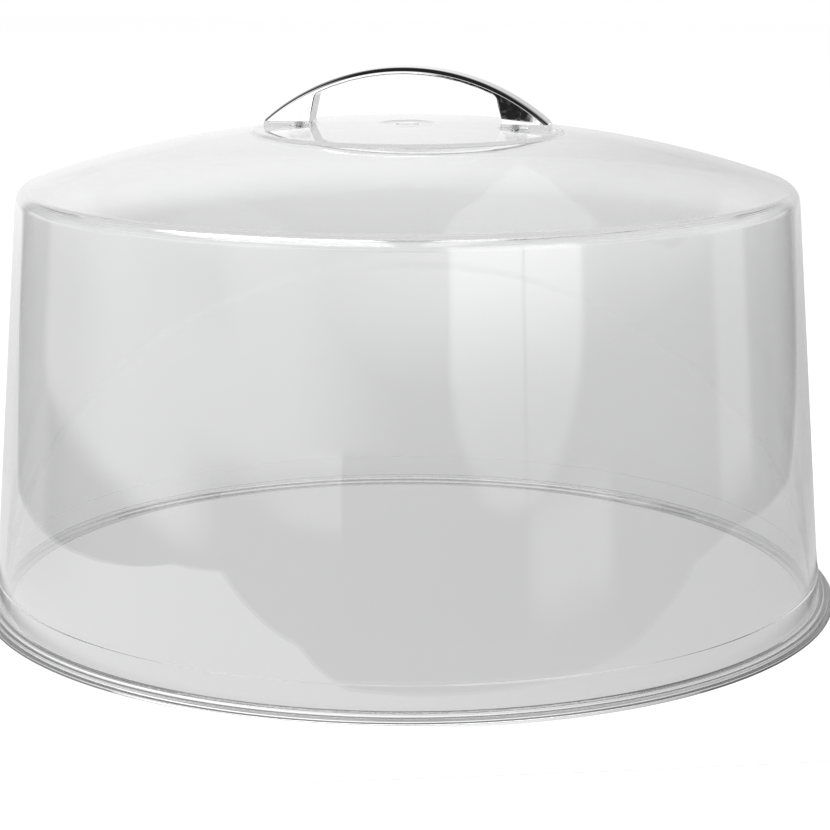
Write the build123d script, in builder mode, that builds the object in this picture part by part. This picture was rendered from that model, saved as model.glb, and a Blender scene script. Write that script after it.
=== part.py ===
from build123d import *
from math import cos, radians, sin, sqrt, tan
import os

# Cake dome: a clear moulded cover with a chromed bow handle held by two screws.
# Millimetres, +Z up. The origin is the centre of the circle that the foot ring stands on.
# The handle runs along X, and the cover is round about Z.

# Foot ring of the cover
foot_radius = 160.0
foot_reach = 5.1
foot_step_height = 1.15
foot_step_widths = (1.4, 1.6)
lip_reach = 2.8
lip_land = 0.6
lip_height = 3.0
tread_round = 0.3

# Wall and shoulder
wall = 2.8
wall_draft = 4.67
shoulder_height = 152.4
shoulder_round = 6.0
band_height = 12.0
band_proud = 0.4

# Roof and the raised crown disc on it
roof_rise = 19.3
roof_bow = 2.56
crown_radius = 57.6
crown_step = 1.0
crown_step_run = 1.3
crown_bow = 2.2
crown_corner_round = 0.7
gate_dish_radius = 10.2
gate_dish_floor = 8.6
gate_dish_depth = 0.6
gate_button_radius = 4.3
gate_button_height = 0.4

# Bow handle
handle_span = 104.2
handle_rise = 20.0
handle_width = 12.0
strap_thickness = 2.4
tip_land = 0.6
foot_inner = 35.3
foot_lean = 11.4
bow_corner_round = 3.0
strap_edge_round = 0.8
inner_edge_round = 0.5

# Pads on the crown and bosses under it
pad_margin = 0.6
pad_height = 0.3
pad_round = 2.0
pad_edge_round = 0.3
boss_radius = 6.0
boss_proud = 0.3

# Screws and washers
screw_spacing = 80.0
screw_radius = 2.0
screw_length = 10.0
head_radius = 4.0
head_height = 2.6
head_round = 1.2
recess_width = 0.9
recess_length = 4.0
recess_depth = 1.4
washer_radius = 5.0
washer_thickness = 0.8

# Clearances
thread_clearance = 0.1
screw_hole_clearance = 0.25
washer_clearance = 0.15
blind_hole_extra = 1.0

# Places worked out from the sizes above
wall_base_radius = foot_radius - foot_reach
wall_lean = tan(radians(wall_draft))
crown_edge_radius = crown_radius - crown_step_run
crown_foot_height = shoulder_height + roof_rise
crown_edge_height = crown_foot_height + crown_step
crest_height = crown_edge_height + crown_bow
pad_top = crest_height + pad_height
handle_half = handle_span / 2
bow_radius = (handle_half**2 + (handle_rise - tip_land) ** 2) / (2 * (handle_rise - tip_land))
bow_centre = pad_top + handle_rise - bow_radius
screw_x = screw_spacing / 2


def outer_radius(height):
    # Outside of the tapered wall at a height
    return wall_base_radius - height * wall_lean


def roof_arc():
    # Centre and radius of the roof's arc in the (radius, height) plane
    low = Vector(outer_radius(shoulder_height), shoulder_height)
    high = Vector(crown_radius, crown_foot_height)
    half_chord = (high - low).length / 2
    radius = (half_chord**2 + roof_bow**2) / (2 * roof_bow)
    across = (high - low).normalized()
    inward = Vector(-across.Y, across.X)
    centre = (low + high) * 0.5 + inward * (radius - roof_bow)
    return centre, radius


def shoulder_corner(inset, centre, radius):
    # Sharp corner where the wall line meets the roof's arc, both set in by the inset
    base = Vector(wall_base_radius - inset / cos(radians(wall_draft)), 0)
    up = Vector(-sin(radians(wall_draft)), cos(radians(wall_draft)))
    back = base - centre
    along = back.dot(up)
    reach = sqrt(along**2 - back.dot(back) + (radius - inset) ** 2)
    return base, base + up * (reach - along)


def cover_outline(inset):
    # Half section of the cover's outer face, or of its inner face when set in by the wall
    centre, radius = roof_arc()
    base, corner = shoulder_corner(inset, centre, radius)
    outer_end = Vector(crown_radius, crown_foot_height)
    roof_end = outer_end + (centre - outer_end).normalized() * inset
    shift = outer_end.X - roof_end.X
    edge = Vector(crown_edge_radius - shift, roof_end.Y + crown_step)
    crest = Vector(0, edge.Y + crown_bow)
    with BuildSketch(Plane.XZ) as section:
        with BuildLine():
            Polyline((0, 0), (base.X, 0), (corner.X, corner.Y))
            middle = centre + ((corner + roof_end) * 0.5 - centre).normalized() * (radius - inset)
            ThreePointArc((corner.X, corner.Y), (middle.X, middle.Y), (roof_end.X, roof_end.Y))
            Line((roof_end.X, roof_end.Y), (edge.X, edge.Y))
            TangentArc((crest.X, crest.Y), (edge.X, edge.Y), tangent=(1, 0))
            Line((crest.X, crest.Y), (0, 0))
        make_face()
        fillet(section.vertices().sort_by_distance((corner.X, corner.Y))[0], shoulder_round - inset)
        fillet(section.vertices().sort_by_distance((edge.X, edge.Y))[0], crown_corner_round)
        fillet(section.vertices().sort_by_distance((roof_end.X, roof_end.Y))[0], crown_corner_round)
    return section.sketch


def foot_section():
    # Section of the foot ring: three treads outside, a small lip inside
    first, second = foot_step_widths
    inner_wall = wall_base_radius - wall / cos(radians(wall_draft))
    lip_radius = inner_wall - lip_reach
    top = 3 * foot_step_height
    with BuildSketch(Plane.XZ) as section:
        with BuildLine():
            Polyline(
                (lip_radius, 0),
                (foot_radius, 0),
                (foot_radius, foot_step_height),
                (foot_radius - first, foot_step_height),
                (foot_radius - first, 2 * foot_step_height),
                (foot_radius - first - second, 2 * foot_step_height),
                (foot_radius - first - second, top),
                (outer_radius(top) - wall / 2, top),
                (inner_wall - lip_height * wall_lean, lip_height),
                (lip_radius, lip_land),
                close=True,
            )
        make_face()
        treads = section.vertices().filter_by(lambda v: v.X > outer_radius(0)).group_by(Axis.Y)
        fillet([treads[1].sort_by(Axis.X)[-1], treads[2].sort_by(Axis.X)[-1], treads[3][0]], tread_round)
    return section.sketch


def band_section():
    # Section of the slightly prouder band that makes the step line above the foot
    low = 2 * foot_step_height
    with BuildSketch(Plane.XZ) as section:
        with BuildLine():
            Polyline(
                (outer_radius(low) - wall / 2, low),
                (outer_radius(low) + band_proud, low),
                (outer_radius(band_height) + band_proud, band_height),
                (outer_radius(band_height) - wall / 2, band_height),
                close=True,
            )
        make_face()
    return section.sketch


def crown_sphere():
    # Radius of the sphere that the crown disc is part of
    return (crown_edge_radius**2 + crown_bow**2) / (2 * crown_bow)


def crown_height(radius):
    # Height of the crown's outer face at a distance from the axis
    return crest_height - crown_sphere() + sqrt(crown_sphere() ** 2 - radius**2)


def gate_section():
    # Section of the shallow dish that the moulding gate leaves in the crown
    floor = crest_height - gate_dish_depth
    rim = crown_height(gate_dish_radius)
    with BuildSketch(Plane.XZ) as section:
        with BuildLine():
            Polyline(
                (0, floor),
                (gate_dish_floor, floor),
                (gate_dish_radius, rim),
                (gate_dish_radius, crest_height),
                (0, crest_height),
                close=True,
            )
        make_face()
    return section.sketch


# Heights that the pads, bosses, screws and handle share
pad_inner = foot_inner - pad_margin
pad_outer = handle_half + pad_margin
pad_middle = (pad_outer + pad_inner) / 2
pad_foot = crown_edge_height - wall / 2
boss_face = crown_height(screw_x + boss_radius) - wall - boss_proud
boss_root = (crown_edge_height + crest_height - wall) / 2
washer_face = boss_face - washer_thickness
screw_tip = washer_face + screw_length
screw_places = ((screw_x, 0), (-screw_x, 0))

outer_section = cover_outline(0)
inner_section = cover_outline(wall)
foot_ring_section = foot_section()
step_band_section = band_section()
gate_dish_section = gate_section()

# Clear cover, one moulding
with BuildPart() as dome_cover:
    revolve(outer_section, axis=Axis.Z)
    with BuildSketch(Plane.XY.offset(pad_foot)):
        with Locations((pad_middle, 0), (-pad_middle, 0)):
            RectangleRounded(pad_outer - pad_inner, handle_width + 2 * pad_margin, pad_round)
    extrude(amount=pad_top - pad_foot)
    fillet(dome_cover.faces().group_by(Axis.Z)[-1].edges(), pad_edge_round)
    revolve(inner_section, axis=Axis.Z, mode=Mode.SUBTRACT)
    revolve(foot_ring_section, axis=Axis.Z)
    revolve(step_band_section, axis=Axis.Z)
    revolve(gate_dish_section, axis=Axis.Z, mode=Mode.SUBTRACT)
    with BuildSketch(Plane.XY.offset(crest_height - gate_dish_depth)):
        Circle(gate_button_radius)
    extrude(amount=gate_button_height)
    with BuildSketch(Plane.XY.offset(boss_face)):
        with Locations(*screw_places):
            Circle(boss_radius)
    extrude(amount=boss_root - boss_face)
    with BuildSketch(Plane.XY.offset(boss_face)):
        with Locations(*screw_places):
            Circle(screw_radius + screw_hole_clearance)
    extrude(amount=pad_top - boss_face, mode=Mode.SUBTRACT)

# Bow handle, one casting: a thin arched strap with a solid foot at each end
window_top = pad_top + handle_rise
window_lean = handle_rise * tan(radians(foot_lean))
with BuildSketch(Plane.XZ) as window:
    with BuildLine():
        Polyline(
            (-foot_inner, pad_top),
            (foot_inner, pad_top),
            (foot_inner - window_lean, window_top),
            (window_lean - foot_inner, window_top),
            close=True,
        )
    make_face()
    with Locations((0, bow_centre)):
        Circle(bow_radius - strap_thickness, mode=Mode.INTERSECT)
    fillet(window.vertices().filter_by(lambda v: v.Y > pad_top + tip_land), bow_corner_round)

with BuildPart() as bow_handle:
    with BuildSketch(Plane.XZ):
        with BuildLine():
            ThreePointArc(
                (-handle_half, pad_top + tip_land),
                (0, pad_top + handle_rise),
                (handle_half, pad_top + tip_land),
            )
            Polyline(
                (handle_half, pad_top + tip_land),
                (handle_half, pad_top),
                (-handle_half, pad_top),
                (-handle_half, pad_top + tip_land),
            )
        make_face()
        add(window.sketch_local, mode=Mode.SUBTRACT)
    extrude(amount=handle_width / 2, both=True)
    strap_edges = bow_handle.edges().filter_by(GeomType.CIRCLE)
    fillet(strap_edges.filter_by(lambda e: abs(e.radius - bow_radius) < tip_land), strap_edge_round)
    side_edges = bow_handle.edges().filter_by(lambda e: abs(abs(e.center().Y) - handle_width / 2) < 0.01)
    under_edges = side_edges.filter_by(lambda e: e.center().Z > pad_top + tip_land)
    fillet(under_edges.filter_by(lambda e: abs(e.center().X) < foot_inner), inner_edge_round)
    with BuildSketch(Plane.XY.offset(pad_top)):
        with Locations(*screw_places):
            Circle(screw_radius + thread_clearance)
    extrude(amount=screw_tip + blind_hole_extra - pad_top, mode=Mode.SUBTRACT)

# Two pan-head screws, up from inside the cover
with BuildPart() as handle_screws:
    with BuildSketch(Plane.XY.offset(washer_face)):
        with Locations(*screw_places):
            Circle(screw_radius)
    extrude(amount=screw_length)
    with BuildSketch(Plane.XY.offset(washer_face - head_height)):
        with Locations(*screw_places):
            Circle(head_radius)
    extrude(amount=head_height)
    fillet(handle_screws.edges().group_by(Axis.Z)[0], head_round)
    with BuildSketch(Plane.XY.offset(washer_face - head_height)):
        with Locations(*screw_places):
            Rectangle(recess_length, recess_width)
            Rectangle(recess_width, recess_length)
    extrude(amount=recess_depth, mode=Mode.SUBTRACT)

# Two plain washers under the screw heads
with BuildPart() as handle_washers:
    with BuildSketch(Plane.XY.offset(washer_face)):
        with Locations(*screw_places):
            Circle(washer_radius)
            Circle(screw_radius + washer_clearance, mode=Mode.SUBTRACT)
    extrude(amount=washer_thickness)

dome_cover.part.label = "dome_cover"
bow_handle.part.label = "bow_handle"
handle_screws.part.label = "handle_screws"
handle_washers.part.label = "handle_washers"

os.makedirs("parts", exist_ok=True)
export_step(dome_cover.part, "parts/dome_cover.step")
export_step(bow_handle.part, "parts/bow_handle.step")
export_step(handle_screws.part, "parts/handle_screws.step")
export_step(handle_washers.part, "parts/handle_washers.step")
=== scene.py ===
# %% [markdown]
# A clear cake dome with a chromed bow handle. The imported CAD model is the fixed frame: it says
# where everything is, in metres, with the handle along X and the foot ring on the floor at Z = 0.
# This lesson dresses that frame piece by piece, and ends with the floor, the light and the camera.

from math import asin, cos, hypot, pi, radians, sin, sqrt, tan

import bmesh
import bpy
from mathutils import Matrix, Vector


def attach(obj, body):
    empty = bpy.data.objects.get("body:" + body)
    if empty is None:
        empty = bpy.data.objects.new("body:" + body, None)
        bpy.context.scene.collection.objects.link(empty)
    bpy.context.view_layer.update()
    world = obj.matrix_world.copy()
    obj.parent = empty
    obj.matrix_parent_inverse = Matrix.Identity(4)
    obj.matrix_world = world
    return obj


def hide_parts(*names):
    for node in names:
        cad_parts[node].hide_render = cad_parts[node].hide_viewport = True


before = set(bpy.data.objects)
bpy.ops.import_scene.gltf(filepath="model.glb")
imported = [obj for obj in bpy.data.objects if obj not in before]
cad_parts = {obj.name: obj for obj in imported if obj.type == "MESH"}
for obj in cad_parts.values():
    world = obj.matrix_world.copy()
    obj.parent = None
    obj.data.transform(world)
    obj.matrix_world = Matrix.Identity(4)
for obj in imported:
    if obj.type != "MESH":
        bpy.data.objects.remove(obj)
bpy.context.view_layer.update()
print("nodes:", sorted(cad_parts))

# %% [markdown]
# The cover is one moulding, round about Z, so a few radii and heights describe it. They repeat the
# CAD model's sizes, in metres. The tilt of the wall is the draft that lets the moulding leave its
# mould. Each tread of the foot ring is given as its outer radius, its top and its bottom.

# %% Sizes of the cover
MM = 0.001
WALL = 2.8 * MM
DRAFT = radians(4.67)
WALL_BASE = 154.9 * MM
SHOULDER_TOP = 152.4 * MM
CROWN_RADIUS, CROWN_FOOT = 57.6 * MM, 171.7 * MM
CROWN_EDGE, CROWN_STEP, CROWN_BOW = 56.3 * MM, 1.0 * MM, 2.2 * MM
CREST = CROWN_FOOT + CROWN_STEP + CROWN_BOW
ROOF_BOW = 2.56 * MM
DISH_DEPTH, DISH_FLOOR_RADIUS, DISH_RIM_RADIUS = 0.6 * MM, 8.6 * MM, 10.2 * MM
GATE_HEIGHT, GATE_RADIUS = 0.4 * MM, 4.3 * MM
STEP_LINE, STEP_OUT = 12 * MM, 0.4 * MM
WALL_STATIONS = (110 * MM, 60 * MM, STEP_LINE)
TREADS = (
    (156.7 * MM, 3.45 * MM, 2.3 * MM),
    (158.3 * MM, 2.3 * MM, 1.15 * MM),
    (160 * MM, 1.15 * MM, 0),
)
RING_TOP, FOOT_RADIUS = TREADS[0][1], TREADS[-1][0]
LIP_WIDTH, LIP_HEIGHT, LIP_SLOPE_TOP = 2.8 * MM, 0.6 * MM, 3 * MM
CROWN_STEPS, ROOF_STEPS, AROUND = 12, 11, 320


def wall_radius(height):
    return WALL_BASE - height * tan(DRAFT)


def arc_through(low, high, bow):
    """Centre and radius of the arc from low to high that bulges outwards by bow."""
    half = (high - low).length / 2
    radius = (half**2 + bow**2) / (2 * bow)
    along = (high - low).normalized()
    inward = Vector((-along.y, along.x))
    return (low + high) / 2 + inward * (radius - bow), radius


crown_foot = Vector((CROWN_RADIUS, CROWN_FOOT))
roof_foot = Vector((wall_radius(SHOULDER_TOP), SHOULDER_TOP))
roof_centre, roof_radius = arc_through(roof_foot, crown_foot, ROOF_BOW)
crown_sphere = (CROWN_EDGE**2 + CROWN_BOW**2) / (2 * CROWN_BOW)
print("roof arc radius", round(roof_radius, 4), "crown sphere radius", round(crown_sphere, 4))

# %% [markdown]
# A lathe shape starts as half a section. It could be typed in as a long list of points, but it is
# easier to read as a pen that draws straight lines and arcs. A line is a new vertex and an edge,
# and an arc is the pen's vertex spun about the arc's centre.

# %% A pen for half sections in the XZ plane
def line_to(bm, pen, r, z):
    tip = bm.verts.new((r, 0, z))
    bm.edges.new((pen, tip))
    return tip


def arc_to(bm, pen, centre, r, steps):
    """Spins the pen about centre until it's at radius r from the Z axis, on the upper side."""
    reach = hypot(pen.co.x - centre.x, pen.co.z - centre.y)
    turn = asin((r - centre.x) / reach) - asin((pen.co.x - centre.x) / reach)
    spun = bmesh.ops.spin(
        bm, geom=[pen], cent=(centre.x, 0, centre.y), axis=(0, 1, 0), angle=turn, steps=steps
    )
    return spun["geom_last"][0]


def round_corner(bm, r, z, radius, segments=4):
    """Rounds the section's corner nearest to (r, z)."""
    corner = min(bm.verts, key=lambda v: (v.co - Vector((r, 0, z))).length)
    one, two = [(e.other_vert(corner).co - corner.co) for e in corner.link_edges]
    reach = min(radius / tan(one.angle(two) / 2), 0.45 * min(one.length, two.length))
    bmesh.ops.bevel(
        bm, geom=[corner], offset=reach, offset_type="OFFSET", affect="VERTICES",
        segments=segments, profile=0.5, material=-1,
    )


# %% [markdown]
# The section runs from the gate mark at the top, out over the crown disc and the roof, and down the
# wall to the three treads of the foot ring. The small steps are worth the work: in clear plastic
# every corner is seen, because it bends what is behind.

# %% Draw the cover's section
section = bmesh.new()
crown_centre = Vector((0, CREST - crown_sphere))
dish_floor = CREST - DISH_DEPTH
gate_top = dish_floor + GATE_HEIGHT
pen = first = section.verts.new((0, 0, gate_top))
pen = line_to(section, pen, GATE_RADIUS, gate_top)
pen = line_to(section, pen, GATE_RADIUS, dish_floor)
pen = line_to(section, pen, DISH_FLOOR_RADIUS, dish_floor)
rim_height = crown_centre.y + sqrt(crown_sphere**2 - DISH_RIM_RADIUS**2)
pen = line_to(section, pen, DISH_RIM_RADIUS, rim_height)
pen = arc_to(section, pen, crown_centre, CROWN_EDGE, CROWN_STEPS)
pen = line_to(section, pen, CROWN_RADIUS, CROWN_FOOT)
pen = arc_to(section, pen, roof_centre, wall_radius(SHOULDER_TOP), ROOF_STEPS)
for height in WALL_STATIONS:
    pen = line_to(section, pen, wall_radius(height), height)
for height in (STEP_LINE, RING_TOP):
    pen = line_to(section, pen, wall_radius(height) + STEP_OUT, height)
for radius, high, low in TREADS:
    pen = line_to(section, pen, radius, high)
    pen = line_to(section, pen, radius, low)
print("section corners outside:", len(section.verts))

# %% [markdown]
# The moulding is equally thick all over, so inside the section follows the outside, one wall in:
# the arcs keep their centres, and the corner of the shoulder is where the wall's inner line meets
# the roof's inner arc. A small lip inside the foot ring stiffens the mouth and slopes to the wall.

# %% Come back up inside, one wall in
def inner_radius(height):
    return wall_radius(height) - WALL / cos(DRAFT)


def line_meets_circle(start, direction, centre, radius):
    """The point where the line from start, inside the circle, reaches it."""
    along = (start - centre).dot(direction)
    reach = sqrt(along**2 - (start - centre).length_squared + radius**2)
    return start + direction * (reach - along)


lip = inner_radius(0) - LIP_WIDTH
pen = line_to(section, pen, lip, 0)
pen = line_to(section, pen, lip, LIP_HEIGHT)
for height in (LIP_SLOPE_TOP, *reversed(WALL_STATIONS)):
    pen = line_to(section, pen, inner_radius(height), height)
to_centre = (roof_centre - crown_foot).normalized() * WALL
inner_foot = crown_foot + to_centre
inner_edge = Vector((CROWN_EDGE + to_centre.x, inner_foot.y + CROWN_STEP))
wall_foot, wall_rise = Vector((inner_radius(0), 0)), Vector((-sin(DRAFT), cos(DRAFT)))
inner_corner = line_meets_circle(wall_foot, wall_rise, roof_centre, roof_radius - WALL)
pen = line_to(section, pen, inner_corner.x, inner_corner.y)
pen = arc_to(section, pen, roof_centre, inner_foot.x, ROOF_STEPS)
pen = line_to(section, pen, inner_edge.x, inner_edge.y)
inner_sphere = (inner_edge.x**2 + CROWN_BOW**2) / (2 * CROWN_BOW)
inner_crest = inner_edge.y + CROWN_BOW
pen = arc_to(section, pen, Vector((0, inner_crest - inner_sphere)), 0, CROWN_STEPS)
section.edges.new((pen, first))
section.faces.new(section.verts[:])
print("section corners in all:", len(section.verts))

# %% [markdown]
# No moulded corner is quite sharp, and a rounded one catches a line of light. Rounding the spun
# shell would take an edge bevel for each ring. A vertex bevel on the flat section is simpler: it
# gives each corner its own radius and number of steps, and the spin then carries it round.

# %% Round the section's corners
for r, z, radius, segments in (
    (wall_radius(SHOULDER_TOP), SHOULDER_TOP, 6.0 * MM, 10),
    (inner_corner.x, inner_corner.y, 3.2 * MM, 8),
    (CROWN_EDGE, CROWN_FOOT + CROWN_STEP, 0.7 * MM, 4),
    (CROWN_RADIUS, CROWN_FOOT, 0.7 * MM, 4),
    (inner_edge.x, inner_edge.y, 0.7 * MM, 4),
    (inner_foot.x, inner_foot.y, 0.7 * MM, 4),
    *((radius, high, 0.3 * MM, 3) for radius, high, low in reversed(TREADS)),
    (FOOT_RADIUS, 0, 0.15 * MM, 2),
    (lip, 0, 0.15 * MM, 2),
    (lip, LIP_HEIGHT, 0.3 * MM, 3),
    (inner_radius(LIP_SLOPE_TOP), LIP_SLOPE_TOP, 0.4 * MM, 3),
    (wall_radius(STEP_LINE) + STEP_OUT, STEP_LINE, 0.15 * MM, 2),
    (wall_radius(STEP_LINE), STEP_LINE, 0.15 * MM, 2),
    (DISH_RIM_RADIUS, rim_height, 0.3 * MM, 2),
    (GATE_RADIUS, gate_top, 0.15 * MM, 2),
):
    round_corner(section, r, z, radius, segments)
print("section corners, rounded:", len(section.verts))

# %% [markdown]
# Smooth shading blends each face into the next, so a long face beside a small rounding would be
# shaded as if it were bent. A vertex close to each end of it keeps that bend at the rounding.

# %% Hold the shading at the roundings
BEND, CLOSE_BY, LONG_EDGE, CLOSEST_SHARE = radians(2.5), 0.2 * MM, 0.35 * MM, 0.2


def hold_shading(corner):
    """Splits the long edges at a corner close to it."""
    longest = max(e.calc_length() for e in corner.link_edges)
    for edge in list(corner.link_edges):
        length = edge.calc_length()
        if length > 0.5 * longest and length > LONG_EDGE:
            bmesh.utils.edge_split(edge, corner, min(CLOSE_BY / length, CLOSEST_SHARE))


for corner in [v for v in section.verts if v.calc_edge_angle(0) > BEND]:
    hold_shading(corner)
print("section corners, shading held:", len(section.verts))

# %% [markdown]
# The mould was turned on a lathe, and a spin about Z is the same step. The flat face and the edge
# on the axis have done their work by then: spun, they would be walls inside the plastic.

# %% Spin the section
on_axis = [e for e in section.edges if all(v.co.x < 0.01 * MM for v in e.verts)]
bmesh.ops.delete(section, geom=section.faces[:], context="FACES_ONLY")
bmesh.ops.delete(section, geom=on_axis, context="EDGES")
bmesh.ops.spin(
    section, geom=section.verts[:] + section.edges[:], cent=(0, 0, 0), axis=(0, 0, 1),
    angle=2 * pi, steps=AROUND, use_merge=True,
)
bmesh.ops.remove_doubles(section, verts=section.verts, dist=0.002 * MM)
bmesh.ops.recalc_face_normals(section, faces=section.faces)
open_edges = sum(not e.is_manifold for e in section.edges)
print("cover shell:", len(section.faces), "faces, open edges:", open_edges)

# %% [markdown]
# Each finished bmesh becomes an object in the same way: its faces are smooth, and edges sharper
# than an angle stay crisp. A modifier is kept by writing what it shows into the mesh.

# %% Turn a bmesh into a piece
def make_piece(name, bm, crisp_angle=32):
    mesh = bpy.data.meshes.new(name)
    bm.to_mesh(mesh)
    bm.free()
    mesh.shade_smooth()
    mesh.set_sharp_from_angle(angle=radians(crisp_angle))
    piece = bpy.data.objects.new(name, mesh)
    bpy.context.scene.collection.objects.link(piece)
    return piece


def keep_modifiers(piece):
    """Writes what the modifiers show into the mesh, and removes them."""
    shown = piece.evaluated_get(bpy.context.evaluated_depsgraph_get())
    mesh = bpy.data.meshes.new_from_object(shown)
    piece.modifiers.clear()
    piece.data = mesh


cover = make_piece("clear_cover", section)
print("clear_cover made")

# %% [markdown]
# The handle's feet stand on two low flat-topped pads, and each screw comes up through a round boss
# under the crown. They belong to the same moulding, so they are joined to it by a Boolean union: as
# separate clear pieces they would show a false skin where they meet. Two holes let the screws pass.

# %% Shapes to join to the cover
PAD_BASE, PAD_TOP = 171.3 * MM, CREST + 0.3 * MM
PAD_INNER, PAD_OUTER, PAD_HALF_WIDTH = 34.7 * MM, 52.7 * MM, 6.6 * MM
SCREW_X = 40 * MM


def pad(bm, side):
    """A box on the crown, under one foot of the handle."""
    ends = sorted((side * PAD_INNER, side * PAD_OUTER))
    low = Vector((ends[0], -PAD_HALF_WIDTH, PAD_BASE))
    high = Vector((ends[1], PAD_HALF_WIDTH, PAD_TOP))
    made = bmesh.ops.create_cube(bm, size=1)["verts"]
    bmesh.ops.scale(bm, verts=made, vec=high - low)
    bmesh.ops.translate(bm, verts=made, vec=(high + low) / 2)


def rod(bm, side, radius, bottom, top):
    """An upright rod on the axis of one screw."""
    low, high = Vector((side * SCREW_X, 0, bottom)), Vector((side * SCREW_X, 0, top))
    made = bmesh.ops.create_cone(
        bm, cap_ends=True, segments=48, radius1=radius, radius2=radius, depth=high.z - low.z
    )["verts"]
    bmesh.ops.translate(bm, verts=made, vec=(low + high) / 2)


def bevel_edges(bm, edges, radius, segments=3):
    bmesh.ops.bevel(
        bm, geom=list(edges), offset=radius, offset_type="OFFSET", affect="EDGES",
        segments=segments, profile=0.5, material=-1, clamp_overlap=True,
    )


def join_to_cover(name, bm, operation):
    tool = make_piece(name, bm)
    cut = cover.modifiers.new(name, "BOOLEAN")
    cut.operation, cut.solver, cut.object = operation, "EXACT", tool
    keep_modifiers(cover)
    bpy.data.objects.remove(tool)


print("pads", round((PAD_OUTER - PAD_INNER) / MM, 1), "mm long, top at", round(PAD_TOP, 4))

# %% Pads, bosses and screw holes
BOSS_RADIUS, BOSS_BOTTOM, BOSS_TOP = 6 * MM, 170.33 * MM, 172.4 * MM
HOLE_RADIUS, HOLE_BOTTOM, HOLE_TOP = 2.25 * MM, 169 * MM, 177 * MM
PAD_CORNER, PAD_RIM, HAIR = 2 * MM, 0.3 * MM, 0.001 * MM
added = bmesh.new()
for side in (-1, 1):
    pad(added, side)
upright = [e for e in added.edges if abs(e.verts[0].co.z - e.verts[1].co.z) > MM]
bevel_edges(added, upright, PAD_CORNER, segments=6)
on_top = [e for e in added.edges if all(abs(v.co.z - PAD_TOP) < HAIR for v in e.verts)]
top_rim = [e for e in on_top if any(abs(f.normal.z) < 0.5 for f in e.link_faces)]
bevel_edges(added, top_rim, PAD_RIM)
for side in (-1, 1):
    rod(added, side, BOSS_RADIUS, BOSS_BOTTOM, BOSS_TOP)
join_to_cover("pads_and_bosses", added, "UNION")
holes = bmesh.new()
for side in (-1, 1):
    rod(holes, side, HOLE_RADIUS, HOLE_BOTTOM, HOLE_TOP)
join_to_cover("screw_holes", holes, "DIFFERENCE")
print("clear_cover:", len(cover.data.polygons), "faces")

# %% [markdown]
# The handle is one casting: a thin arched strap and a solid foot at each end. It could be a curve
# with a bevel, but its feet are no sweep. So its side outline is drawn flat with the same pen, with
# the feet a little too long, and is then extruded across the handle and cut to length.

# %% Outline of the bow handle
HALF_SPAN, RISE, HALF_WIDTH = 52.1 * MM, 20 * MM, 6 * MM
STRAP, TIP_LAND, EXTRA_LENGTH = 2.4 * MM, 0.6 * MM, 4 * MM
FOOT_INNER, FOOT_LEAN = 35.3 * MM, radians(11.4)
ARCH_STEPS, WINDOW_STEPS, WINDOW_ROUND = 80, 10, 3.0 * MM
bow_radius = (HALF_SPAN**2 + (RISE - TIP_LAND) ** 2) / (2 * (RISE - TIP_LAND))
bow_centre = Vector((0, PAD_TOP + RISE - bow_radius))
inner_bow = bow_radius - STRAP
foot_base, foot_rise = Vector((FOOT_INNER, PAD_TOP)), Vector((-sin(FOOT_LEAN), cos(FOOT_LEAN)))
window_corner = line_meets_circle(foot_base, foot_rise, bow_centre, inner_bow)

handle_mesh = bmesh.new()
long_end = PAD_TOP - EXTRA_LENGTH
long_inner = FOOT_INNER + EXTRA_LENGTH * tan(FOOT_LEAN)
spread = sqrt(bow_radius**2 - (long_end - bow_centre.y) ** 2)
pen = handle_mesh.verts.new((-spread, 0, long_end))
pen = arc_to(handle_mesh, pen, bow_centre, spread, ARCH_STEPS)
pen = line_to(handle_mesh, pen, long_inner, long_end)
pen = line_to(handle_mesh, pen, window_corner.x, window_corner.y)
pen = arc_to(handle_mesh, pen, bow_centre, -window_corner.x, WINDOW_STEPS)
line_to(handle_mesh, pen, -long_inner, long_end)
handle_mesh.faces.new(handle_mesh.verts[:])
for side in (-1, 1):
    round_corner(handle_mesh, side * window_corner.x, window_corner.y, WINDOW_ROUND, segments=7)
print("window corner", [round(c, 4) for c in window_corner])

# %% Extrude it and lean the flat sides
FACE_LEAN = radians(-0.3)


def half_width(z):
    return HALF_WIDTH - (z - PAD_TOP) * tan(FACE_LEAN)


grown = bmesh.ops.extrude_face_region(handle_mesh, geom=handle_mesh.faces[:])["geom"]
far_side = [g for g in grown if isinstance(g, bmesh.types.BMVert)]
bmesh.ops.translate(handle_mesh, verts=far_side, vec=(0, 2 * HALF_WIDTH, 0))
bmesh.ops.translate(handle_mesh, verts=handle_mesh.verts, vec=(0, -HALF_WIDTH, 0))
for v in handle_mesh.verts:
    v.co.y *= half_width(v.co.z) / HALF_WIDTH
bmesh.ops.recalc_face_normals(handle_mesh, faces=handle_mesh.faces)
print("half width on top:", round(half_width(PAD_TOP + RISE) / MM, 2), "mm")

# %% [markdown]
# The outer edges are rounded generously. That is what turns the top of the arch into a black line,
# because they mirror the dark space above the set. Round the window the edge is a narrow strip, and
# it leans a little more than the flat side, so that it mirrors another part of the set as one line.

# %% Round the outer edges and lean the window's rim
EDGE_ROUND, WINDOW_EDGE, WINDOW_TILT = 1.8 * MM, 0.36 * MM, radians(9.5)
NEAR = 0.02 * MM


def from_bow(point):
    return hypot(point.x, point.z - bow_centre.y)


def side_rim(edge, outer):
    """True for an edge where a flat side meets the outside of the bow, or its window."""
    facing = sorted(abs(f.normal.y) for f in edge.link_faces)
    on_rim = facing[0] < 0.3 and facing[-1] > 0.999
    on_bow = all(abs(from_bow(v.co) - bow_radius) < NEAR for v in edge.verts)
    at_end = all(v.co.z < long_end + 0.01 * MM for v in edge.verts)
    return on_rim and not at_end and on_bow == outer


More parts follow.
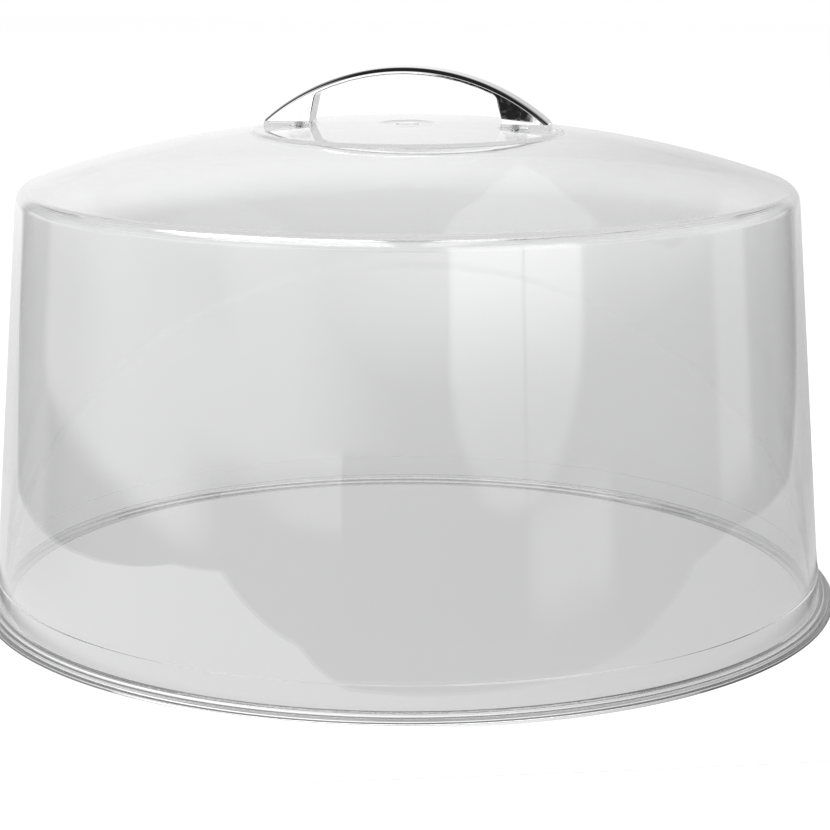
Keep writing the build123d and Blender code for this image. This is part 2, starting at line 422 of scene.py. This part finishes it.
outer_rim = [e for e in handle_mesh.edges if side_rim(e, outer=True)]
bevel_edges(handle_mesh, outer_rim, EDGE_ROUND, segments=9)
window_rim = [e for e in handle_mesh.edges if side_rim(e, outer=False)]
bevel_edges(handle_mesh, window_rim, WINDOW_EDGE, segments=1)
leaned = 0
for v in handle_mesh.verts:
    half = half_width(v.co.z)
    if abs(abs(v.co.y) - (half - WINDOW_EDGE)) < NEAR and from_bow(v.co) < inner_bow + MM:
        v.co.y *= (half - WINDOW_EDGE * tan(WINDOW_TILT)) / abs(v.co.y)
        leaned += 1
print("window rim points leaned:", leaned)

# %% [markdown]
# Three planes cut the feet to length, flat on their pads, and take off the thin tips of the bow.
# The right tip spreads a little, as a casting can that was ground by hand: its side then mirrors
# the set at a slant. A few cuts across it give the spread vertices to bend at.

# %% Cut the handle to length and spread its right tip
FLARE_START, FLARE_STEP, FLARE_CUTS, FLARE = 41 * MM, 2 * MM, 5, 2.2


def cut_plane(bm, point, away, clear=False):
    """Cuts bm along a plane, clears what lies away from it if asked, and returns the new parts."""
    return bmesh.ops.bisect_plane(
        bm, geom=bm.verts[:] + bm.edges[:] + bm.faces[:], plane_co=point, plane_no=away,
        clear_outer=clear,
    )["geom_cut"]


for point, away in (
    ((0, 0, PAD_TOP), (0, 0, -1)), ((HALF_SPAN, 0, 0), (1, 0, 0)), ((-HALF_SPAN, 0, 0), (-1, 0, 0)),
):
    cut = cut_plane(handle_mesh, point, away, clear=True)
    rim = [g for g in cut if isinstance(g, bmesh.types.BMEdge)]
    bmesh.ops.edgenet_fill(handle_mesh, edges=rim)
for step in range(FLARE_CUTS):
    cut_plane(handle_mesh, (FLARE_START + FLARE_STEP * step, 0, 0), (1, 0, 0))
for v in handle_mesh.verts:
    beyond = max(v.co.x - FLARE_START, 0)
    v.co.y *= 1 + FLARE * beyond**2 / HALF_WIDTH
bmesh.ops.recalc_face_normals(handle_mesh, faces=handle_mesh.faces)
print("handle open edges:", sum(not e.is_manifold for e in handle_mesh.edges))

# %% [markdown]
# Smooth shading would also bend the handle's flat sides near its roundings. Weighted normals let
# the large faces decide, so the flat sides mirror as flat as they are. Then each piece rides on the
# one body of this part and stands for its CAD node, which is hidden. The material cells below give
# it the finish named beside it.

# %% Fasten the pieces to the frame
handle = make_piece("chrome_handle", handle_mesh, 40)
flatten = handle.modifiers.new("flat faces stay flat", "WEIGHTED_NORMAL")
flatten.keep_sharp = True
for piece, node, slot in (
    (cover, "dome_cover", "clear_plastic"), (handle, "bow_handle", "chromed_metal"),
):
    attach(piece, "root")
    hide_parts(node)
    print(piece.name, "for", node + ":", len(piece.data.polygons), "faces")

# %% [markdown]
# Materials. Small helpers keep the node code short. The first makes a node, sets its values and
# plugs in its links, and the others are sums that return a socket. The last two test a ray's
# counts: how often it was mirrored (Glossy Depth), how often it went through the skin of the
# plastic (Transmission Depth), or how often it passed a Transparent shader (Transparent Depth).

# %% Node helpers
def new_material(name):
    material = bpy.data.materials.new(name)
    material.use_nodes = True
    material.node_tree.nodes.clear()
    return material, material.node_tree


def node(tree, kind, inputs=None, **settings):
    made = tree.nodes.new(kind)
    for key, value in settings.items():
        setattr(made, key, value)
    for key, value in (inputs or {}).items():
        if isinstance(value, bpy.types.NodeSocket):
            tree.links.new(value, made.inputs[key])
        else:
            made.inputs[key].default_value = value
    return made


def maths(tree, operation, one, two=0.0):
    return node(tree, "ShaderNodeMath", {0: one, 1: two}, operation=operation).outputs[0]


def times(tree, product, *others):
    for other in others:
        product = maths(tree, "MULTIPLY", product, other)
    return product


def ramp_up(tree, value, low, high, to_low=0.0, to_high=1.0):
    """A smooth step from to_low to to_high as value goes from low to high."""
    made = node(
        tree, "ShaderNodeMapRange",
        {"Value": value, "From Min": low, "From Max": high, "To Min": to_low, "To Max": to_high},
        interpolation_type="SMOOTHSTEP",
    )
    return made.outputs["Result"]


def between(tree, value, low, high, soft_low, soft_high):
    """1 between low and high, with soft edges."""
    up = ramp_up(tree, value, low - soft_low, low + soft_low)
    down = ramp_up(tree, value, high - soft_high, high + soft_high, 1.0, 0.0)
    return times(tree, up, down)


def mix(tree, share, one, two):
    return node(tree, "ShaderNodeMix", {0: share, 2: one, 3: two}).outputs[0]


def at_least(tree, count, number):
    """1 for a ray whose count has reached number, and 0 for others."""
    return maths(tree, "GREATER_THAN", count, number - 0.5)


def fewer_than(tree, count, number):
    return maths(tree, "LESS_THAN", count, number - 0.5)


# %% [markdown]
# Clear moulded plastic is a Principled shader with full transmission. A slightly grey colour gives
# each wall its faint smoky tint. Real covers are never optically perfect, so noise gives the gloss
# faint wiping marks and the surface a very shallow ripple. Lamps would throw a black shadow through
# a refracting shader, so shadow and diffuse rays meet a nearly clear Transparent shader. So does
# light that has been mirrored twice. Without that, the rays that the rounded corners trap inside
# the wall would run out of bounces there, and draw black lines. What they meet is set further down.

# %% Clear plastic
MIRRORED_OFTEN = 2


def noise(tree, coords, scale, **settings):
    """A noise texture's value from 0 to 1, about 0.5."""
    made = node(tree, "ShaderNodeTexNoise", {"Vector": coords, "Scale": scale, **settings})
    return made.outputs["Fac"]


def bumped(tree, height, strength, distance):
    made = node(
        tree, "ShaderNodeBump", {"Height": height, "Strength": strength, "Distance": distance}
    )
    return made.outputs["Normal"]


clear, tree = new_material("clear_plastic")
coords = node(tree, "ShaderNodeTexCoord").outputs["Object"]
smears = noise(tree, coords, 22.0, Detail=5.0, Roughness=0.6, Distortion=0.8)
ripple = noise(tree, coords, 16.0, Detail=2.0)
plastic = node(
    tree, "ShaderNodeBsdfPrincipled",
    {
        "Base Color": (0.91, 0.912, 0.912, 1.0), "IOR": 1.5, "Transmission Weight": 1.0,
        "Roughness": ramp_up(tree, smears, 0.45, 0.75, 0.008, 0.05),
        "Normal": bumped(tree, ripple, 0.05, 0.002),
    },
)
rays = node(tree, "ShaderNodeLightPath").outputs
straight_on = maths(tree, "MAXIMUM", rays["Is Shadow Ray"], rays["Is Diffuse Ray"])
trapped = at_least(tree, rays["Glossy Depth"], MIRRORED_OFTEN)
straight_on = maths(tree, "MAXIMUM", straight_on, trapped)
let_through = node(tree, "ShaderNodeBsdfTransparent", {"Color": (0.96, 0.96, 0.96, 1.0)})
shown = node(
    tree, "ShaderNodeMixShader",
    {0: straight_on, 1: plastic.outputs[0], 2: let_through.outputs[0]},
)
node(tree, "ShaderNodeOutputMaterial", {"Surface": shown.outputs[0]})
cover.data.materials.clear()
cover.data.materials.append(clear)
print("clear_plastic:", len(tree.nodes), "nodes")

# %% [markdown]
# Chrome plate is a mirror, so nearly all of its look comes from what it reflects. The casting under
# it is a little wavy, and years of washing leave hairline marks: a shallow bump and a fine noise in
# the roughness give both.

# %% Chrome
chrome, tree = new_material("chromed_metal")
coords = node(tree, "ShaderNodeTexCoord").outputs["Object"]
wave = noise(tree, coords, 90.0, Detail=1.0)
hairlines = noise(tree, coords, 700.0, Detail=3.0)
metal = node(
    tree, "ShaderNodeBsdfPrincipled",
    {
        "Base Color": (0.86, 0.86, 0.87, 1.0), "Metallic": 1.0,
        "Roughness": ramp_up(tree, hairlines, 0.4, 0.8, 0.02, 0.09),
        "Normal": bumped(tree, wave, 0.06, 0.0005),
    },
)
node(tree, "ShaderNodeOutputMaterial", {"Surface": metal.outputs[0]})
handle.data.materials.clear()
handle.data.materials.append(chrome)
print("chromed_metal:", len(tree.nodes), "nodes")

# %% [markdown]
# The screws and washers keep their CAD shape. Zinc-plated steel is duller than chrome: a very fine
# noise in the roughness gives it a satin grain.

# %% Plated steel
steel, tree = new_material("plated_steel")
coords = node(tree, "ShaderNodeTexCoord").outputs["Object"]
grain = noise(tree, coords, 900.0, Detail=2.0)
metal = node(
    tree, "ShaderNodeBsdfPrincipled",
    {
        "Base Color": (0.62, 0.62, 0.62, 1.0), "Metallic": 1.0,
        "Roughness": ramp_up(tree, grain, 0.3, 0.8, 0.22, 0.42),
    },
)
node(tree, "ShaderNodeOutputMaterial", {"Surface": metal.outputs[0]})
for name in ("handle_screws", "handle_washers"):
    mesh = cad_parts[name].data
    mesh.materials.clear()
    mesh.materials.append(steel)
print("plated_steel:", len(tree.nodes), "nodes")

# %% [markdown]
# Where the foot ring touches the table, little light gets in, and the table is darker. The ring
# hides that strip from the camera, but its treads and its lip show it as thin grey lines, so the
# shade is for light that comes through the plastic. Light that is trapped in the wall would see
# the table there as a bright or a black line. It passes through the table instead, unless it comes
# down on that strip from outside.

# %% Contact shade and trapped light
SHADE_INNER, SHADE_OUTER, CONTACT_SHADE = 0.1497, 0.172, 0.78


def ring_shade(tree, coords, rays):
    """Where the strip under the foot ring is, and how much light the table keeps for a ray."""
    from_axis = node(tree, "ShaderNodeVectorMath", {0: coords}, operation="LENGTH").outputs["Value"]
    strip = between(tree, from_axis, SHADE_INNER, SHADE_OUTER, 0.0004, 0.008)
    strip = times(tree, strip, fewer_than(tree, rays["Transmission Depth"], 3))
    kept = maths(tree, "SUBTRACT", 1.0, times(tree, strip, CONTACT_SHADE))
    return strip, mix(tree, rays["Is Camera Ray"], kept, 1.0)


def trapped_light(tree, rays, strip):
    """1 for light that is trapped in the wall, unless it meets the strip from outside."""
    trapped = times(
        tree, at_least(tree, rays["Glossy Depth"], MIRRORED_OFTEN),
        fewer_than(tree, rays["Transmission Depth"], 2),
        at_least(tree, rays["Transmission Depth"], 1),
    )
    passed_skin = at_least(tree, rays["Transparent Depth"], 2)
    off_strip = maths(tree, "SUBTRACT", 1.0, strip)
    return times(tree, trapped, maths(tree, "MAXIMUM", passed_skin, off_strip))


print("contact shade from", SHADE_INNER, "to", SHADE_OUTER, "from the axis")

# %% [markdown]
# The set. The floor is plain and pale. To the camera it is pure white, apart from the soft shadow
# of the dome. A white board of its own shape lies on it, because the dome mirrors the edge of the
# board
# that it stands on: the pale curve low on the wall. Mirror rays meet only the board, which glows
# with painted light, brighter on the left in front, as by a window.

# %% Paper of the floor and the board
VIEW_TURN = radians(9)
PAPER, PAPER_GLOW = 0.72, 0.48
# NEAR_GLOW and BACK_GLOW paint light on the paper, stronger further behind the dome, for rays that
# are not the camera's; BACK_MIRRORED adds the same painted light to the board in mirrors.
NEAR_GLOW, BACK_GLOW, BACK_MIRRORED, BACK_MOST = 0.03, 0.26, 0.17, 1.8


def table_material(name, in_mirrors):
    """White to look at, and in mirrors either a board that is brighter in front, or gone."""
    made, tree = new_material(name)
    coords = node(tree, "ShaderNodeTexCoord").outputs["Object"]
    turned = node(tree, "ShaderNodeMapping", {"Vector": coords, "Rotation": (0, 0, -VIEW_TURN)})
    place = node(tree, "ShaderNodeSeparateXYZ", {0: turned.outputs[0]}).outputs
    rays = node(tree, "ShaderNodeLightPath").outputs
    to_camera = rays["Is Camera Ray"]
    strip, kept = ring_shade(tree, coords, rays)
    # Painted light: away from the camera, the paper glows brighter the further behind the dome it
    # lies.
    behind = maths(tree, "MAXIMUM", place["Y"], 0.0)
    behind = maths(tree, "MINIMUM", times(tree, behind, behind), BACK_MOST)
    through = maths(tree, "ADD", times(tree, behind, BACK_GLOW), NEAR_GLOW)
    glow = times(tree, mix(tree, to_camera, through, PAPER_GLOW), kept)
    paper = mix(tree, to_camera, times(tree, kept, PAPER), PAPER)
    matte = node(tree, "ShaderNodeBsdfDiffuse", {"Color": paper})
    glow = node(tree, "ShaderNodeEmission", {"Strength": glow})
    surface = node(tree, "ShaderNodeAddShader", {0: matte.outputs[0], 1: glow.outputs[0]})
    if in_mirrors:
        # Painted light: in mirrors the board glows instead of being lit, brighter on the left in
        # front as if a window shone on it, and brighter further behind.
        front = ramp_up(tree, place["X"], -0.08, 0.16, 1.5, 0.5)
        back = ramp_up(tree, place["X"], 0.05, 0.25, 0.78, 0.48)
        mirrored = mix(tree, ramp_up(tree, place["Y"], -0.16, 0.03), front, back)
        mirrored = maths(tree, "ADD", mirrored, times(tree, behind, BACK_MIRRORED))
        seen = node(tree, "ShaderNodeEmission", {"Strength": times(tree, mirrored, kept)})
    else:
        seen = node(tree, "ShaderNodeBsdfTransparent")
    gone = node(tree, "ShaderNodeBsdfTransparent")
    for share, other in (
        (at_least(tree, rays["Glossy Depth"], 1), seen), (trapped_light(tree, rays, strip), gone),
    ):
        inputs = {0: share, 1: surface.outputs[0], 2: other.outputs[0]}
        surface = node(tree, "ShaderNodeMixShader", inputs)
    node(tree, "ShaderNodeOutputMaterial", {"Surface": surface.outputs[0]})
    print(name + ":", len(tree.nodes), "nodes")
    return made


# %% Floor and board
FLOOR_HALF, FLOOR_Z, BOARD_Z = 4.0, -0.2 * MM, -0.05 * MM
BOARD = (
    (-1600, 2600), (-800, 970), (-470, 380), (-305, 120), (-345, -250), (-297, -336), (-102, -272),
    (-34, -206), (74, -195), (129, -188), (232, -176), (345, -145), (400, -60), (357, 130),
    (600, 670), (1200, 2600),
)
floor_mesh = bmesh.new()
bmesh.ops.create_grid(floor_mesh, x_segments=1, y_segments=1, size=FLOOR_HALF)
bmesh.ops.translate(floor_mesh, verts=floor_mesh.verts, vec=(0, 0, FLOOR_Z))
floor = make_piece("floor", floor_mesh)
floor.data.materials.append(table_material("white_floor", False))
board_mesh = bmesh.new()
board_mesh.faces.new([board_mesh.verts.new((x * MM, y * MM, BOARD_Z)) for x, y in BOARD])
turn = Matrix.Rotation(VIEW_TURN, 3, "Z")
bmesh.ops.rotate(board_mesh, verts=board_mesh.verts, cent=(0, 0, 0), matrix=turn)
board = make_piece("white_board", board_mesh)
board.data.materials.append(table_material("white_board", True))
print("floor and board made")

# %% [markdown]
# The world is the studio around the table. Real walls and soft boxes would do, but each would also
# light the floor and stand in the camera's way. A world can show each kind of ray its own light.
# Azimuth is measured in degrees from the camera's side, to the right, and height above the table.

# %% World: angles
world = bpy.data.worlds.new("studio")
bpy.context.scene.world = world
world.use_nodes = True
world.cycles.sampling_method = "NONE"
tree = world.node_tree
tree.nodes.clear()
coords = node(tree, "ShaderNodeTexCoord").outputs["Generated"]
turned = node(tree, "ShaderNodeMapping", {"Vector": coords, "Rotation": (0, 0, -VIEW_TURN)})
split = node(tree, "ShaderNodeSeparateXYZ", {0: turned.outputs[0]}).outputs
to_right, to_back = split["X"], split["Y"]
azimuth = maths(tree, "ARCTAN2", to_right, times(tree, to_back, -1.0))
azimuth = maths(tree, "DEGREES", azimuth)
height = maths(tree, "DEGREES", maths(tree, "ARCSINE", split["Z"]))


def azimuth_band(low, high, soft_low, soft_high):
    return between(tree, azimuth, low, high, soft_low, soft_high)


def height_band(low, high, soft_low, soft_high):
    return between(tree, height, low, high, soft_low, soft_high)


def rise(value, low, high):
    """0 up to low, and 1 from high on."""
    return ramp_up(tree, value, low, high)


def fade(value, low, high):
    """1 up to low, and 0 from high on."""
    return ramp_up(tree, value, low, high, 1.0, 0.0)


def patch(strength, *shapes):
    """A light of a strength, where all its shapes are 1."""
    return times(tree, *shapes, strength)


print("angles:", len(tree.nodes), "nodes")

# %% [markdown]
# A mirror shows another part of the set after each bounce, and the plastic bends it too. So some
# lights are only for rays with certain counts. Going through one wall crosses two skins, a
# Transmission Depth of 2, and going through the near wall and the far one crosses 4.

# %% World: counts of a ray
rays = node(tree, "ShaderNodeLightPath").outputs
skins = rays["Transmission Depth"]
mirrored = at_least(tree, rays["Glossy Depth"], 1)
mirrored_twice = at_least(tree, rays["Glossy Depth"], 2)
outside, in_wall, past_wall, in_foot = (
    fewer_than(tree, skins, 1), at_least(tree, skins, 2), at_least(tree, skins, 3),
    at_least(tree, skins, 4),
)
print("ray counts:", len(tree.nodes), "nodes")

# %% [markdown]
# The window is the bright upright shape on the right part of the wall. It is straight at its sides,
# round at its foot and fades upwards, with a thin seam down its middle.

# %% World: the window
WINDOW_MIDDLE, WINDOW_HALF, WINDOW_FOOT, FOOT_DROP = 30.2, 19.2, -1.5, 4.5
SEAM_LEFT, SEAM_RIGHT, SEAM_SOFT, SEAM_DEPTH = 31.6, 32.4, 0.4, 0.5
across = maths(tree, "DIVIDE", maths(tree, "SUBTRACT", azimuth, WINDOW_MIDDLE), WINDOW_HALF)
drop = maths(tree, "MAXIMUM", maths(tree, "SUBTRACT", WINDOW_FOOT, height), 0.0)
down = maths(tree, "DIVIDE", drop, FOOT_DROP)
oval = maths(tree, "ADD", times(tree, across, across), times(tree, down, down))
seam = times(tree, azimuth_band(SEAM_LEFT, SEAM_RIGHT, SEAM_SOFT, SEAM_SOFT), SEAM_DEPTH)
window = patch(
    ramp_up(tree, height, -4.6, 0.5, 0.8, 2.8), fade(oval, 0.8, 1.2), fade(height, 24, 32),
    maths(tree, "SUBTRACT", 1.0, seam),
)
print("window:", len(tree.nodes), "nodes")

# %% [markdown]
# The white wall on the left is the large pale field on the left half of the dome, and the white
# side of the handle. Its right edge and its foot draw outlines on the plastic and on the chrome,
# and each is placed for the surface that shows it.

# %% World: the wall on the left
WALL_LIGHT = 1.45
low_edge, high_edge = fade(azimuth, -17.9, -16.9), fade(azimuth, -36, 4)
left_edge = mix(tree, rise(height, -4.55, -4.25), low_edge, high_edge)
on_chrome_twice = times(tree, mirrored_twice, outside)
left_edge = mix(tree, on_chrome_twice, left_edge, fade(azimuth, -12, -4))
far_foot, near_foot = height_band(-7.9, 29, 0.7, 4), height_band(-5.6, 29, 1.0, 4)
left_foot = mix(tree, rise(azimuth, -68, -48), far_foot, near_foot)
top = mix(tree, mirrored_twice, fade(height, 5, 11), 1.0)
on_chrome = times(tree, height_band(-6.4, 29, 0.3, 4), top)
on_plastic = height_band(-4.8, 8, 0.5, 3)
front_foot = mix(tree, outside, on_plastic, on_chrome)
left_foot = mix(tree, rise(azimuth, -42, -28), left_foot, front_foot)
dim_low = ramp_up(tree, height, -3.5, 0.0, 1.0, 0.6)
left_wall = patch(
    WALL_LIGHT, ramp_up(tree, azimuth, -112, -82, 0.55, 1.0), left_edge, left_foot,
    rise(azimuth, -130, -118), maths(tree, "MAXIMUM", rise(azimuth, -70, -45), dim_low),
)
print("left wall:", len(tree.nodes), "nodes")

# %% [markdown]
# The bright backdrop behind the table has an upper edge that falls off to both sides. Soft boxes
# and pale strips stand at the other azimuths. What is left between them is the dark gap in front
# and above, which draws the black lines on the chrome.

# %% World: backdrop and soft boxes
EDGE_HEIGHT, EDGE_SLOPE = 33.0, 22.0
from_middle = maths(tree, "ABSOLUTE", to_right)
edge = maths(tree, "ADD", times(tree, from_middle, EDGE_SLOPE), EDGE_HEIGHT)
above_edge = maths(tree, "SUBTRACT", height, edge)
foot_light = times(
    tree, ramp_up(tree, height, 28, 32, 0.5, 1.0), ramp_up(tree, height, 37.8, 38.8, 1.0, 1.6)
)
backdrop = patch(
    ramp_up(tree, above_edge, 0, 1.6, 0.97, 0.42), rise(to_back, 0.75, 0.9),
    height_band(-20, 62, 1, 6), ramp_up(tree, to_right, -0.02, 0.2, 1.0, 0.7),
    mix(tree, in_foot, 1.0, foot_light),
)
back_glow = patch(0.35, rise(to_back, -0.2, 0.2), height_band(8, 62, 3, 6))
table_strip = patch(
    1.05, ramp_up(tree, azimuth, 40, 60, 1.0, 0.62), rise(height, -3.4, -0.5),
    fade(height, 2.5, 7), azimuth_band(-140, 140, 5, 5),
)
soft_boxes = [
    patch(strength, azimuth_band(*azimuths), height_band(*heights))
    for strength, azimuths, heights in (
        (0.36, (-143.5, -118, 0.5, 4), (-14, 29, 1, 4)), (0.12, (122, 145, 4, 1), (-14, 29, 1, 4)),
        (0.8, (33, 56, 4, 3), (-8.8, -6, 1, 1)), (0.6, (95, 110, 2, 2), (-9, 30, 1, 6)),
    )
]
print("backdrop and soft boxes:", len(tree.nodes), "nodes")

# %% [markdown]
# The shoulder and the sides of the wall mirror from inside as well, and look steeply up there. The
# light for them is above and beside the set, for rays that have been in the wall, so that it
# doesn't show on the chrome or on the outside of the plastic.

# %% World: lights for the inside of the wall
SIDE_LIGHT, FOOT_OVERHEAD = 0.85, 3.5
sideways = between(tree, maths(tree, "ABSOLUTE", azimuth), 105, 156, 5, 3)
side_light = patch(SIDE_LIGHT, sideways, height_band(31, 60, 2, 4), in_wall)
shoulder_light = patch(
    ramp_up(tree, to_right, -0.05, 0.05, 6.0, 3.2), rise(from_middle, 0.03, 0.07),
    ramp_up(tree, to_right, 0.14, 0.26, 1.0, 0.1),
)
overhead = mix(tree, past_wall, shoulder_light, FOOT_OVERHEAD)
top_light = patch(overhead, height_band(48.5, 84, 1.5, 4), in_wall)
print("inner lights:", len(tree.nodes), "nodes")

# %% [markdown]
# Mirrors see the brightest of these lights. The camera sees plain white, and so does light that
# went straight through the plastic, up to where the studio gets dark above. Light with an odd
# count of skins never came out of the wall by bending: the clear shader set it free, and it meets
# an even light.

# %% World: what each kind of ray meets
DARKNESS, TO_DIFFUSE = 0.02, 0.7
mirrored_light = DARKNESS
for light in (
    window, left_wall, *soft_boxes, table_strip, backdrop, back_glow, side_light, top_light,
):
    mirrored_light = maths(tree, "MAXIMUM", light, mirrored_light)
straight = mix(tree, rays["Is Camera Ray"], ramp_up(tree, height, 14, 30, 1.0, 0.1), 1.0)
strength = mix(tree, mirrored, straight, mirrored_light)
set_free = maths(tree, "GREATER_THAN", maths(tree, "MODULO", skins, 2.0), 0.5)
free_light = mix(tree, in_wall, ramp_up(tree, height, -55, -40, 1.08, 0.84), 0.8)
strength = mix(tree, set_free, strength, free_light)
strength = mix(tree, rays["Is Diffuse Ray"], strength, TO_DIFFUSE)
sky = node(tree, "ShaderNodeBackground", {"Color": (1, 1, 1, 1), "Strength": strength})
node(tree, "ShaderNodeOutputWorld", {"Surface": sky.outputs[0]})
print("studio world:", len(tree.nodes), "nodes")

# %% [markdown]
# One large soft lamp above and to the left gives the floor its soft shadow. It isn't mirrored,
# because the world already holds what the chrome and the plastic mirror.

# %% Lamp
LAMP_LENGTH, LAMP_WIDTH, LAMP_WATTS = 1.6, 1.2, 14.0
LAMP_PLACE, LAMP_AIM = (-0.7, -0.2, 1.7), Vector((0, 0, 0.05))
lamp_data = bpy.data.lights.new("soft_lamp", "AREA")
lamp_data.shape, lamp_data.energy = "RECTANGLE", LAMP_WATTS
lamp_data.size, lamp_data.size_y = LAMP_LENGTH, LAMP_WIDTH
lamp = bpy.data.objects.new("soft_lamp", lamp_data)
lamp.location = LAMP_PLACE
lamp.rotation_euler = (LAMP_AIM - lamp.location).to_track_quat("-Z", "Y").to_euler()
lamp.visible_glossy = False
lamp.visible_transmission = False
bpy.context.scene.collection.objects.link(lamp)
print("lamp turned to", [round(angle, 3) for angle in lamp.rotation_euler])

# %% [markdown]
# The camera stands 850 mm from the dome's axis and 256 mm above the table, looks 12.67 degrees
# down, and stands 9 degrees round from the handle's front. These came from fitting the ellipses of
# the foot ring, the back rim and the crown. The sideways shift puts the dome's axis a few pixels
# left of the middle of the picture. Clear plastic also needs many bounces, or it turns grey.

# %% Camera
DISTANCE, EYE_HEIGHT, DOWN = 0.850416, 0.256366, 0.22118
SENSOR, PICTURE_PIXELS, FOCAL_PIXELS, SHIFT_PIXELS = 36.0, 830.0, 2317.47, 7.5
camera_data = bpy.data.cameras.new("camera")
camera_data.sensor_width = SENSOR
camera_data.lens = FOCAL_PIXELS * SENSOR / PICTURE_PIXELS
camera_data.shift_x = SHIFT_PIXELS / PICTURE_PIXELS
camera_data.clip_start, camera_data.clip_end = 0.01, 50.0
camera = bpy.data.objects.new("camera", camera_data)
camera.location = (DISTANCE * sin(VIEW_TURN), -DISTANCE * cos(VIEW_TURN), EYE_HEIGHT)
camera.rotation_euler = (pi / 2 - DOWN, 0, VIEW_TURN)
bpy.context.scene.collection.objects.link(camera)
bpy.context.scene.camera = camera
bpy.context.scene.view_settings.view_transform = "Standard"
paths = bpy.context.scene.cycles
paths.max_bounces, paths.glossy_bounces, paths.transmission_bounces = 40, 32, 32
paths.transparent_max_bounces = 32
print("camera at", [round(c, 4) for c in camera.location])
